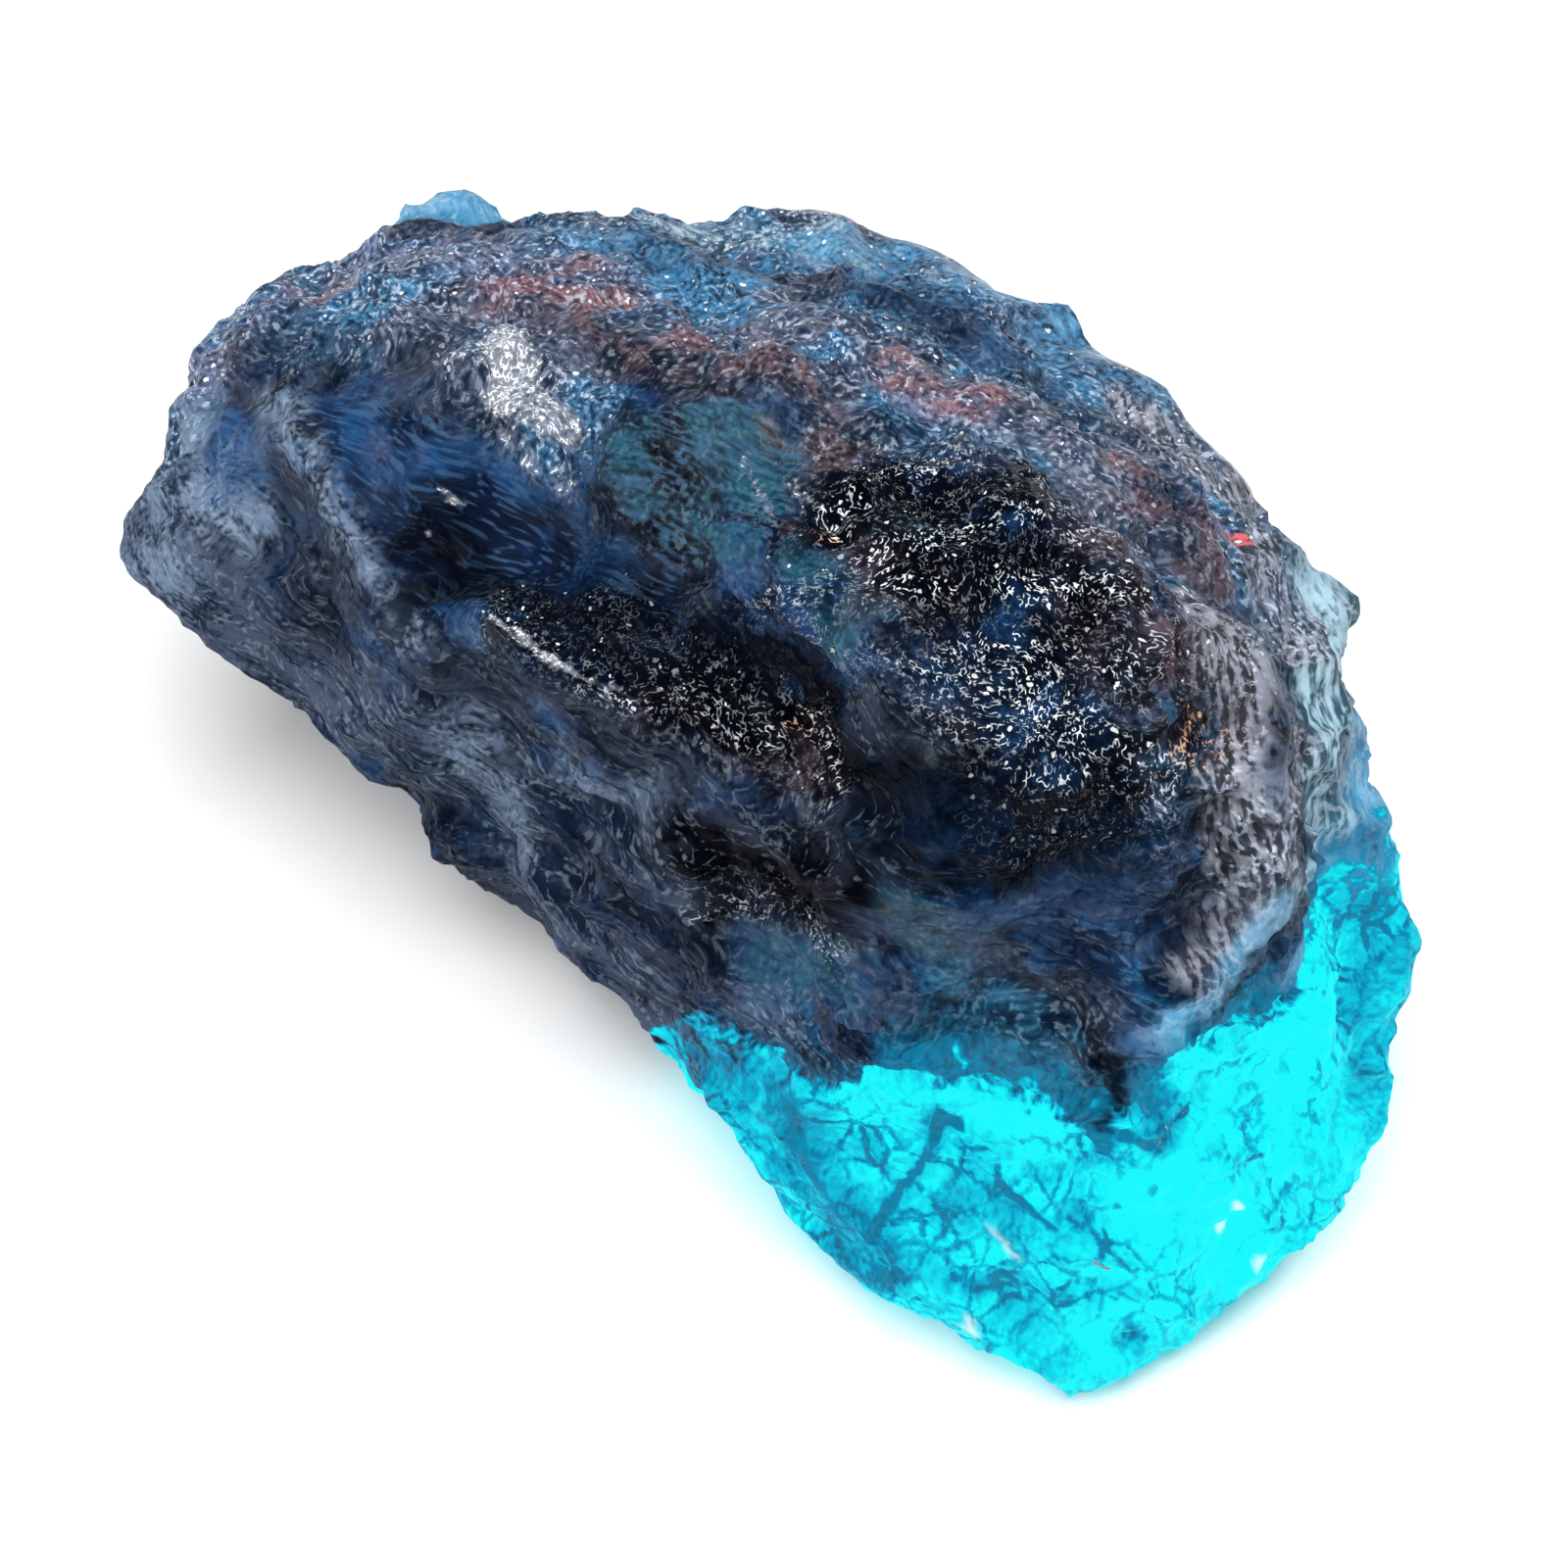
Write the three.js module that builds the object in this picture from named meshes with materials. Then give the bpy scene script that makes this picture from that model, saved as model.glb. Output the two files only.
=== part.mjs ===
// A rough sapphire: one uncut lump of corundum, broken from its bed on all sides.
// Millimetres, +Z up. +X runs along the stone to its thin, light end, and the stone rests on z = 0.
//
// The stone is sculpted in three steps: a skin is stretched over the corners of the lump,
// its edges are blunted as handling blunts them, and ridges, hollows and grain are raised on it.

import * as THREE from "three";
import { ConvexHull } from "three/addons/math/ConvexHull.js";
import { ImprovedNoise } from "three/addons/math/ImprovedNoise.js";
import { mergeVertices } from "three/addons/utils/BufferGeometryUtils.js";

// ---------- driving dimensions ----------

const HEART = new THREE.Vector3(-3, 4, 12); // every corner can be seen from here
const EGG = new THREE.Vector3(31, 18, 14); // half-sizes of the egg that spaces the skin's points
const BLOCK = new THREE.Vector3(66, 40, 32); // the block that the stone is cut from
const EGG_LIFT = 3; // the egg stands above the heart, so more of the points go to the upper side
const SKIN_SPLITS = 21; // each icosahedron edge is split this often
const BLUNTING_PASSES = 1;
const BLUNTING = 0.3; // share of the way to its neighbours that a point moves in one pass
const FULLNESS = 0.2; // gives back what blunting takes off
const LEDGE_PITCH = 2.9;
const LEDGE_DEPTH = 0.5;
const CHIP_COUNT = 1100; // spread through the block that the stone is cut from
const CHIP_SEED = 41;
const CHIP_TILT = 0.2; // steepest slope of a chip against the skin

// Corners of the lump, [x, y, z], in belts from its crown down to its foot.
const CORNERS = {
  crown: [
    [-24, -5.5, 21.5], [-25.5, 0.5, 22], [-19.5, -7.5, 21], [-16, 0, 25], [-19, 7, 24],
    [-14, -5, 21], [-9.5, -7.5, 22], [-5.5, -7, 21.8], [-10, -2.5, 21.8], [-12.5, 7, 25.5],
    [-8, 7.5, 27.5], [-9, 0, 24.5], [-8.5, 3, 26], [-4, 4.5, 26.5], [-8.5, 11.5, 25.5],
    [0, 5.5, 27.5], [4, 9.5, 28], [8, 2, 28.5], [6.5, -1.5, 27.5], [9.5, 9, 27],
    [-3.5, 15, 24.5], [3, 17, 23.5], [6.5, 16, 23.5], [14, 4, 26.5], [14, 10, 24.5],
    [13, -0.5, 25.5], [3.5, -2.5, 22], [3.5, -3.5, 21], [-0.5, -5.5, 20.5], [-3, -0.5, 24.5],
  ],
  farRim: [
    [-35, -4, 17], [-35, 0, 18], [-32.5, 5.5, 19.5], [-28.5, 10.4, 19.2], [-24.8, 15.4, 20.6],
    [-21, 16.4, 19.4], [-18.3, 21.8, 19], [-12.5, 23.4, 19], [-5, 24.2, 19], [1.5, 22.8, 18.8],
    [5.2, 22.9, 18.6], [6.8, 20.8, 18.8], [10.5, 17, 21],
  ],
  fins: [
    [-36.5, 8.5, 15], [-37.5, 10.5, 15], [-36, 12.5, 15], [-30.8, 13.2, 15.2], [-27, 16.6, 16],
    [-33, 9.5, 17], [-32, 9, 12.5], [-29, 13, 13], [10, 19.5, 19.5], [10, 22, 17],
    [12, 23.4, 15.5], [12.4, 21, 14.5], [16, 18, 14], [17.8, 16.6, 13], [13.5, 16.5, 18.5],
  ],
  shoulders: [
    [-31, -12.5, 14], [-31.6, -9, 15], [-28, -7.5, 18.5], [-22, -11, 16], [-14.5, -9, 18.5],
    [-14, -10, 16], [-6, -8.5, 14], [2, -8, 16], [5, -5.5, 20.5], [10.5, -3.5, 22.5],
    [17, 3, 22.5], [16.5, 9.5, 22], [19, 8, 19.5], [15.5, 16, 16], [20, 5, 18.5],
    [20.5, 1, 16.5], [17.5, 0.5, 18.5], [14, -1.5, 18], [10, -5.5, 18], [5, -7, 14],
  ],
  lightEnd: [
    [10.5, -8, 14.5], [14.5, -4, 14.5], [19, -2, 15], [4.5, -9.5, 10], [11, -9, 8.5],
    [14.5, -6.5, 9.5], [18, -4, 10.5], [21, -2.5, 11.5], [21.5, 3.5, 11.5], [23, 8, 11],
    [21, 8.5, 12.5], [19, 13.5, 13], [20.2, 16.9, 11], [22.8, 15, 9], [24.7, 11.2, 7],
    [25.5, 6.5, 7], [24.5, 2, 7], [16, -8, 5.5], [20.5, -6.5, 5], [23, -4.5, 5.5],
    [25.5, -2, 4.5], [26.6, 9.5, 5], [27, 5.8, 4], [27, 1.2, 2.5],
  ],
  flank: [
    [-28.2, -12.7, 13], [-24.8, -12.5, 12], [-21.3, -11.4, 10.8], [-17, -10.4, 9.2], [-12.4, -9, 8.6],
    [-10.5, -10.3, 7], [-5, -8.9, 5.5], [1, -8.8, 4], [6, -9.6, 3.5], [10.5, -11, 3],
    [15, -11, 2], [18.5, -10, 1.5], [22, -9, 1.5], [25.4, -7.8, 1.5], [26.2, -3.4, 1.5],
  ],
  underside: [
    [-26, -9, 6], [-31, -4, 9], [-32, 2, 11], [-30, 8, 9], [-25, 14, 8],
    [-15, 20, 9], [-3, 21, 8], [8, 20, 8], [17.5, 16.5, 6],
  ],
  foot: [
    [-19, -5.5, -1], [-23, 2, -1], [-18, 11, -1], [-6, 15, -1], [6, 14.5, -1],
    [16, 10.5, -1], [24, 4, -1], [24, -5, -1], [14, -8.5, -1], [0, -6.5, -1],
    [-10, -6.5, -1], [-8, 4, -1.5], [8, 3, -1.5],
  ],
};

// Sharp crests that stand on the skin, from one end to the other.
const CRESTS = [
  { name: "tail crest", from: [-24, -5.5, 21.5], to: [-14.5, -8.5, 18.5], high: 0.9, wide: 1.3 },
  { name: "flank crest", from: [-10, -8, 22.5], to: [-1, -6, 20.5], high: 0.5, wide: 1.2 },
  { name: "crown crest", from: [-8, 7.5, 27.5], to: [-9.5, 0, 24.5], high: 0.5, wide: 1.3 },
  { name: "shelf crest", from: [0, 5, 27.5], to: [6.5, -1.5, 27.5], high: 0.6, wide: 1.3 },
  { name: "brow", from: [14, 10.5, 24.5], to: [19.5, 7, 19.5], high: 0.9, wide: 1.4 },
  { name: "far brow", from: [20, 6.5, 18.5], to: [20, 0.5, 16], high: 0.8, wide: 1.3 },
  { name: "fin root", from: [9.5, 19, 20], to: [15, 16.5, 17], high: 0.7, wide: 1.2 },
  { name: "low band", from: [-17, -10.5, 12.5], to: [-6, -8.5, 13.5], high: 0.6, wide: 1.5 },
];

// Hollows where pieces have broken out, and the swellings between them (a negative depth).
const HOLLOWS = [
  { name: "long trough", at: [-12, -3.5, 21.5], across: 4.5, deep: 0.8 },
  { name: "tail pocket", at: [-28.5, -5, 18.5], across: 2.6, deep: 0.9 },
  { name: "shelf corner", at: [3.5, -3.5, 22], across: 2.4, deep: 1.1 },
  { name: "dark recess", at: [5.5, -6.5, 17], across: 2.6, deep: 1.1 },
  { name: "blue pocket", at: [7.5, -7.5, 14], across: 2.0, deep: 0.8 },
  { name: "band hollow", at: [-3.5, -8.5, 15], across: 2.2, deep: 0.9 },
  { name: "brow hollow", at: [18.5, 3, 19], across: 2.6, deep: 0.8 },
  { name: "far pocket", at: [21.5, 13, 12], across: 2.6, deep: 0.9 },
  { name: "crown swelling", at: [7, 4, 28], across: 6.0, deep: -0.5 },
];

// ---------- the skin over the corners ----------

// Triangles between neighbouring corners, as seen from the heart.
function facets() {
  const cornerAt = new Map();
  const directions = Object.values(CORNERS).flat().map(([x, y, z]) => {
    const corner = new THREE.Vector3(x, y, z).sub(HEART);
    const direction = corner.clone().normalize();
    cornerAt.set(direction, corner);
    return direction;
  });
  return new ConvexHull().setFromPoints(directions).faces.map((face) => {
    const edges = [face.edge, face.edge.next, face.edge.prev];
    const points = edges.map((edge) => cornerAt.get(edge.head().point));
    return new THREE.Triangle(points[0], points[1], points[2]);
  });
}

// Distance from the heart to the facet that a direction passes through.
function reach(direction, triangles) {
  const ray = new THREE.Ray(new THREE.Vector3(), direction);
  const hit = new THREE.Vector3();
  for (const { a, b, c } of triangles) {
    if (ray.intersectTriangle(a, b, c, false, hit)) return hit.length();
  }
  throw new Error("a direction passes between the facets");
}

function skinOverCorners() {
  const ball = new THREE.IcosahedronGeometry(1, SKIN_SPLITS);
  ball.deleteAttribute("normal");
  ball.deleteAttribute("uv");
  const skin = mergeVertices(ball, 1e-5);
  const triangles = facets();
  const place = skin.attributes.position;
  const point = new THREE.Vector3();
  for (let i = 0; i < place.count; i++) {
    point.fromBufferAttribute(place, i).multiply(EGG);
    point.z += EGG_LIFT;
    point.normalize();
    point.setLength(reach(point, triangles)).add(HEART);
    place.setXYZ(i, point.x, point.y, point.z);
  }
  return skin;
}

// ---------- blunted edges ----------

function neighbours(skin) {
  const near = Array.from({ length: skin.attributes.position.count }, () => new Set());
  const order = skin.index.array;
  for (let i = 0; i < order.length; i += 3) {
    for (let k = 0; k < 3; k++) {
      near[order[i + k]].add(order[i + ((k + 1) % 3)]);
      near[order[i + k]].add(order[i + ((k + 2) % 3)]);
    }
  }
  return near;
}

function blunt(skin) {
  const place = skin.attributes.position;
  const near = neighbours(skin);
  const point = new THREE.Vector3();
  const other = new THREE.Vector3();
  for (let pass = 0; pass < BLUNTING_PASSES; pass++) {
    const before = place.clone();
    for (let i = 0; i < place.count; i++) {
      const middle = new THREE.Vector3();
      near[i].forEach((j) => middle.add(other.fromBufferAttribute(before, j)));
      middle.divideScalar(near[i].size);
      point.fromBufferAttribute(before, i).lerp(middle, BLUNTING);
      place.setXYZ(i, point.x, point.y, point.z);
    }
  }
}

// ---------- relief ----------

const perlin = new ImprovedNoise();

// Noise with bumps about `size` apart, between about -1 and 1.
function bumps(p, size, seed) {
  return perlin.noise(p.x / size + seed, p.y / size - seed, p.z / size + 2 * seed);
}

// Flat faces left by small chips: each holds the part of the stone that lies nearest to it.
function scatterChips() {
  THREE.MathUtils.seededRandom(CHIP_SEED);
  const anywhere = () => new THREE.Vector3(...[0, 0, 0].map(() => THREE.MathUtils.seededRandom() - 0.5));
  return Array.from({ length: CHIP_COUNT }, () => ({
    at: anywhere().multiply(BLOCK).add(HEART),
    tilt: anywhere().multiplyScalar(2 * CHIP_TILT),
  }));
}

const chips = scatterChips();

function chipped(p) {
  let nearest = chips[0];
  for (const chip of chips) {
    if (chip.at.distanceToSquared(p) < nearest.at.distanceToSquared(p)) nearest = chip;
  }
  return p.clone().sub(nearest.at).dot(nearest.tilt);
}

// Steps along the bed of the stone, which lies nearly level: they show on its steep sides.
function ledges(p, out) {
  const bed = p.z + 1.2 * bumps(p, 11, 5.3) - 0.06 * p.x;
  const step = (bed / LEDGE_PITCH) % 1;
  const broken = THREE.MathUtils.smoothstep(bumps(p, 6, 1.9), -0.25, 0.25);
  return LEDGE_DEPTH * (1 - out.z * out.z) * broken * (step - 0.5);
}

function crests(p) {
  const nearest = new THREE.Vector3();
  return CRESTS.reduce((sum, { from, to, high, wide }) => {
    const line = new THREE.Line3(new THREE.Vector3(...from), new THREE.Vector3(...to));
    const away = line.closestPointToPoint(p, true, nearest).distanceTo(p) / wide;
    return sum + high * Math.exp(-away * away);
  }, 0);
}

function hollows(p) {
  return HOLLOWS.reduce((sum, { at, across, deep }) => {
    const away = p.distanceTo(new THREE.Vector3(...at)) / across;
    return sum - deep * Math.exp(-away * away);
  }, 0);
}

function relief(p, out) {
  const lumps = 0.8 * bumps(p, 6.1, 3.1) + 0.35 * bumps(p, 3.1, 7.7);
  return FULLNESS + lumps + chipped(p) + ledges(p, out) + crests(p) + hollows(p);
}

function carve(skin) {
  skin.computeVertexNormals();
  const place = skin.attributes.position;
  const facing = skin.attributes.normal;
  const point = new THREE.Vector3();
  const out = new THREE.Vector3();
  for (let i = 0; i < place.count; i++) {
    point.fromBufferAttribute(place, i);
    out.fromBufferAttribute(facing, i);
    point.addScaledVector(out, relief(point, out));
    point.z = Math.max(point.z, 0); // the cleaved face that it rests on
    place.setXYZ(i, point.x, point.y, point.z);
  }
}

// ---------- the stone ----------

function sapphire() {
  const skin = skinOverCorners();
  blunt(skin);
  carve(skin);
  skin.computeVertexNormals();
  skin.computeBoundingBox();
  const middle = skin.boundingBox.getCenter(new THREE.Vector3());
  const stone = new THREE.Mesh(skin, new THREE.MeshStandardMaterial({
    color: 0x1b2f4f,
    roughness: 0.35,
    metalness: 0,
  }));
  stone.name = "sapphire";
  stone.position.set(-middle.x, -middle.y, 0);
  return stone;
}

const root = new THREE.Group();
root.add(sapphire());

export default root;
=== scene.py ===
# %% [markdown]
# # A rough sapphire
# An uncut lump of blue sapphire lies on a white table. One end glows cyan, as if a lamp under it
# shone through it; that glow is painted light, given off by the stone's own material. The rest is
# dark navy crystal with a dusty grey skin and small painted glints.
# The imported model is loaded first, and its box is kept, to hold the dressed stone to its size.

# %% The imported model
import math

import bpy
import numpy as np
from mathutils import Euler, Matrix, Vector, noise


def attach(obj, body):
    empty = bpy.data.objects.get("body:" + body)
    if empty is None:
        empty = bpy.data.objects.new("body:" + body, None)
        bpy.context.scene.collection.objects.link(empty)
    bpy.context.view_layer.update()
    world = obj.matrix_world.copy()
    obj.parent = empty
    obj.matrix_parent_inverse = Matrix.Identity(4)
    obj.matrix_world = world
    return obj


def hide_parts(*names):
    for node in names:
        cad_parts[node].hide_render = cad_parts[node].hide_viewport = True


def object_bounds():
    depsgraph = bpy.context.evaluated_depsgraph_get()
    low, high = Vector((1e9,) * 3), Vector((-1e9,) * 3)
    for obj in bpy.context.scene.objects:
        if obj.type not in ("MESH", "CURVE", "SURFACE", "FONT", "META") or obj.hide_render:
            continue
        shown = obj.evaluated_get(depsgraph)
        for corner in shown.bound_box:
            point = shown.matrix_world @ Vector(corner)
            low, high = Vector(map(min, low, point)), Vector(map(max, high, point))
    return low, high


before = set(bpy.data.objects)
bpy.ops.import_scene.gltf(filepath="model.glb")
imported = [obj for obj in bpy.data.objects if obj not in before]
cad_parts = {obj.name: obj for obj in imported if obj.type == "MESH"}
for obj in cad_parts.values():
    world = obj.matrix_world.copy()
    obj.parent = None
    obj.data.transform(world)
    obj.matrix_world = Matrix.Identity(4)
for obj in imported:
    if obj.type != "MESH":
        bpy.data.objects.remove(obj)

MM = 0.001
cad_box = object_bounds()
print("CAD box in mm:", [[round(c / MM, 2) for c in corner] for corner in cad_box])

# %% [markdown]
# ## Camera
# A camera comes before anything else, so that every later step can be judged through it. This is a
# close-up from above the stone's light end, about a hand's width away. An aim point and a direction
# are easier to reason about than a location and three angles.

# %% Camera
SCULPTOR = Vector((4.57, -5.79, 0.0))  # the point all places on the stone are measured from, in mm
CAMERA_AZIMUTH = math.radians(45)
CAMERA_HEIGHT_ANGLE = math.radians(55)
CAMERA_DISTANCE = 102 * MM
CAMERA_VIEW_ANGLE = math.radians(36)
CAMERA_AIM = (SCULPTOR + Vector((0, 0, 13))) * MM

back = Vector((
    math.sin(CAMERA_AZIMUTH) * math.cos(CAMERA_HEIGHT_ANGLE),
    -math.cos(CAMERA_AZIMUTH) * math.cos(CAMERA_HEIGHT_ANGLE),
    math.sin(CAMERA_HEIGHT_ANGLE),
))
bpy.ops.object.camera_add(location=CAMERA_AIM + back * CAMERA_DISTANCE)
camera = bpy.context.active_object
camera.rotation_euler = (-back).to_track_quat("-Z", "Y").to_euler()
camera.data.sensor_width = 36
camera.data.lens = camera.data.sensor_width / 2 / math.tan(CAMERA_VIEW_ANGLE / 2)
camera.data.clip_start = 0.01
camera.data.clip_end = 20
bpy.context.scene.camera = camera
bpy.context.scene.view_settings.view_transform = "Standard"
print("lens in mm:", round(camera.data.lens, 1))

# %% [markdown]
# ## A fine working copy
# The solid of the stone has triangles about 1 mm wide, which is right for its lumps and far too
# coarse for its grain. The copy is merged, because an imported mesh is loose triangles, and is then
# subdivided twice. A little smoothness rounds the new points off the old flat triangles.

# %% Working copy
def only(*objects):
    bpy.ops.object.select_all(action="DESELECT")
    for o in objects:
        o.select_set(True)
    bpy.context.view_layer.objects.active = objects[0]


MERGE_WITHIN = 0.001 * MM
SUBDIVIDE_SMOOTHNESS = 0.55

stone = bpy.data.objects.new("stone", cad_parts["sapphire"].data.copy())
bpy.context.scene.collection.objects.link(stone)
only(stone)
bpy.ops.mesh.customdata_custom_splitnormals_clear()
bpy.ops.object.mode_set(mode="EDIT")
bpy.ops.mesh.select_all(action="SELECT")
bpy.ops.mesh.remove_doubles(threshold=MERGE_WITHIN)
for _ in range(2):
    bpy.ops.mesh.subdivide(number_cuts=1, smoothness=SUBDIVIDE_SMOOTHNESS)
bpy.ops.mesh.quads_convert_to_tris()
bpy.ops.object.mode_set(mode="OBJECT")
bpy.ops.object.shade_smooth()
print("stone:", len(stone.data.vertices), "points,", len(stone.data.polygons), "faces")

# %% [markdown]
# ## Where each kind of surface is
# A rough stone isn't the same all over: some faces are freshly broken and glossy, some are coated
# in fine dust. Each kind gets a mask, a number from 0 to 1 stored on every point of the mesh. The
# masks are painted with soft strokes, as with a brush, and noise frays the strokes' edges. The
# noise that stirs places starts from the clock, so it's given a seed to draw the same stone every
# time.

# %% Brush
NOISE_SEED = 7
noise.seed_set(NOISE_SEED)


def points_of(mesh, what="co"):
    flat = np.empty(len(mesh.vertices) * 3)
    if what == "co":
        mesh.vertices.foreach_get("co", flat)
    else:
        mesh.vertex_normals.foreach_get("vector", flat)
    return flat.reshape(-1, 3)


def smooth(t):
    t = np.clip(t, 0, 1)
    return t * t * (3 - 2 * t)


def fray(places, size, seed):
    """Noise between about -1 and 1 at each place, with patches about `size` mm apart."""
    shift = Vector((seed, -seed, 2.0 * seed))
    return np.array([noise.noise(Vector(p) / size + shift) for p in places])


def stir(places, size, seed):
    """Noise of three numbers at each place, to carry the places a little to and fro."""
    shift = Vector((seed, 2.0 * seed, -seed))
    return np.array([noise.noise_vector(Vector(p) / size + shift) for p in places])


# %% [markdown]
# ## A few places pulled
# The solid stops short of some corners of the stone and bulges past it in others, by half a
# millimetre or so. A grab brush would mend that in sculpt mode. Here each grab is written down as a
# place, a reach and a pull, which fades to nothing at the reach, so that it leaves no step.

# %% Pulled places
PULLS = [  # place, reach in mm, and how far the stone is pulled there, in mm
    ((-28.1, 13.2, 18.8), 2.6, (0.35, -0.35, -0.35)),
    ((-33.9, 13.2, 14.8), 2.6, (-0.25, 0.3, 0.3)),
    ((-18.1, 21.1, 18.9), 3.0, (-0.3, 0.3, 0.3)),
    ((4.6, 21.9, 18.7), 3.4, (0, 0.35, 0.15)),
    ((18.3, 17.8, 12.6), 2.0, (-0.3, -0.3, 0)),
    ((16.4, 18.1, 13.8), 2.0, (0.35, 0.35, 0)),
    ((22.3, 14.9, 8.8), 2.6, (0.4, 0.4, 0)),
    ((25.4, 9.5, 5), 3.4, (0.6, 0.5, -0.1)),
    ((-13.3, -9.7, 4.6), 3.0, (0, 0.55, 0.2)),
    ((-1.1, -10.3, 6.4), 3.0, (0, 0.5, 0.15)),
    ((7.9, -10.3, 3.1), 2.6, (0, 0.45, 0)),
]

home = points_of(stone.data) / MM - np.array(SCULPTOR)
for place, reach, pull in PULLS:
    near = smooth(1 - np.linalg.norm(home - place, axis=1) / reach)
    home += near[:, None] * pull
stone.data.vertices.foreach_set("co", ((home + np.array(SCULPTOR)) * MM).ravel())
stone.data.update()
print("pulled the stone in", len(PULLS), "places")

# %% [markdown]
# The canvas is the set of places that the brush strokes are compared with. Two sizes of noise move
# those places to and fro, so that a straight stroke ends up with ragged edges, like a stain.

# %% Canvas
FRAY_WIDE = 1.1  # how far the wide noise moves the edge of a stroke, in mm
FRAY_FINE = 0.35

facing = points_of(stone.data, "normal")
coarse = fray(home, 3.0, 5.5)
fine = fray(home, 0.9, 9.1)
frayed = home + FRAY_WIDE * np.stack([coarse, fray(home, 3.0, 15.5), fray(home, 3.0, 25.5)], 1)
frayed += FRAY_FINE * np.stack([fine, fray(home, 0.9, 19.1), fray(home, 0.9, 29.1)], 1)


def stroke_distance(canvas, path):
    """Distance in mm from every point of a canvas to a path of one or more places."""
    path = np.array(path, float)
    if len(path) == 1:
        return np.linalg.norm(canvas - path[0], axis=1)
    best = np.full(len(canvas), 1e9)
    for start, end in zip(path[:-1], path[1:]):
        along = np.clip((canvas - start) @ (end - start) / ((end - start) @ (end - start)), 0, 1)
        away = np.linalg.norm(canvas - start - along[:, None] * (end - start), axis=1)
        best = np.minimum(best, away)
    return best


def paint(strokes, canvas=frayed):
    """The mask of some strokes, each (width in mm, strength, places)."""
    mask = np.zeros(len(home))
    for width, strength, path in strokes:
        stroke = strength * smooth(1.4 * (1 - stroke_distance(canvas, path) / width))
        mask = np.maximum(mask, stroke)
    return mask


def store(name, mask):
    layer = stone.data.attributes.new(name, "FLOAT", "POINT")
    layer.data.foreach_set("value", mask.astype(np.float32))
    print(f"mask {name}: mean {mask.mean():.2f}, most {mask.max():.2f}")


def store_places(name, places):
    layer = stone.data.attributes.new(name, "FLOAT_VECTOR", "POINT")
    layer.data.foreach_set("vector", places.astype(np.float32).ravel())


# %% [markdown]
# The glowing end is painted light: its glow is given off by the stone's own material. It is
# bounded by an edge that runs round the stone, written down as a height for each direction, read
# like the wall of a cup seen from above, and frayed like the strokes. Light fades over a few
# millimetres there, and some places inside the lit end are painted dimmer.

# %% Glow mask
GLOW_MIDDLE = (12.0, 2.0)
GLOW_EDGE = [  # direction in degrees from +X, height of the edge in mm
    (-180, -3), (-140, -2), (-131, 6), (-125, 10.5), (-112, 10.6), (-97, 10.8), (-92, 13.6),
    (-80, 13.8), (-66, 13.5), (-50, 13.2), (-38, 12.7), (-30, 12.6), (-24, 13.2), (-12, 15.5),
    (23, 13.5), (34, 12.2), (45, 12.6), (56, 12.9), (64, 12.6), (74, 10.5), (95, 5.5), (120, 2),
    (150, -3), (180, -3),
]
GLOW_SOFTNESS = 3.4
AFTERGLOW = [  # direction, and share of the light that shows above the edge there
    (-180, 0), (-135, 0), (-120, 0.7), (-88, 1), (60, 1), (85, 0.4), (100, 0), (180, 0),
]
AFTERGLOW_REACH = 9.0
DIM = [
    (3.4, 0.75, [(3.4, -9.2, 8.8), (5.6, -9.6, 8.4), (9.1, -10.2, 8), (11.9, -10.2, 5.7),
                 (14.6, -10, 3.8)]),
    (1.0, 0.5, [(14.8, -6, 10.4), (14.4, -7.6, 6.9), (14.4, -9.8, 5.1)]),
    (2.2, 0.3, [(17, -7, 7.5), (20, -6, 7), (22, -4, 8)]),
    (0.9, 0.6, [(16.7, -8.8, 5.2), (18.9, -8.2, 4.9), (20.8, -6.8, 4.9), (23.7, -4.2, 5.3)]),
    (0.6, 0.5, [(18.6, -4.4, 9.8), (21.1, -4.1, 8.6), (22.4, -4.8, 7)]),
    (0.8, 0.3, [(12.4, -7, 13.6), (13.4, -5.4, 13.9), (15.1, -4.3, 13.2), (16.8, -3.4, 13.3)]),
    (0.7, 1.6, [(18.6, -2, 15.4), (19.3, -2.1, 14.3), (20, -2, 12.5), (20.6, -2.2, 11.6)]),
    (1.5, 0.8, [(19.7, -1, 15.6), (20.5, -0.9, 14.2), (21.2, -0.7, 12.4), (21.9, -0.5, 11)]),
    (0.5, 1.0, [(22.2, -2.4, 8.8)]),
    (4.2, 0.45, [(18.5, 15.5, 14), (19, 14.7, 12.9), (21.5, 14.7, 10.3), (23.5, 12.9, 9.3),
                 (24.8, 10.5, 7.2)]),
    (1.2, 0.4, [(23.4, -6.6, 3.7), (24, -7, 2)]),
    (2.6, 0.25, [(21.6, -7.2, 3.2), (23.6, -6, 3.4)]),
    (2.4, 0.8, [(1.9, -9.4, 8.6), (3.6, -9.7, 6.8), (5.2, -10, 5.2)]),
]

BLAZE = [
    (5.0, 1.0, [(21.7, 8.4, 12.5), (22.6, 5.9, 10.4), (23.4, 3.5, 8.7), (24.1, 0.1, 8.6),
                (24.6, -2.5, 6.8)]),
    (2.4, 0.8, [(14.5, -5.8, 12.7), (16.2, -4.9, 12.2), (18.1, -4.1, 12)]),
    (2.0, 0.8, [(24.3, -5.7, 3.4), (22.8, -7.1, 3.5)]),
]

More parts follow.
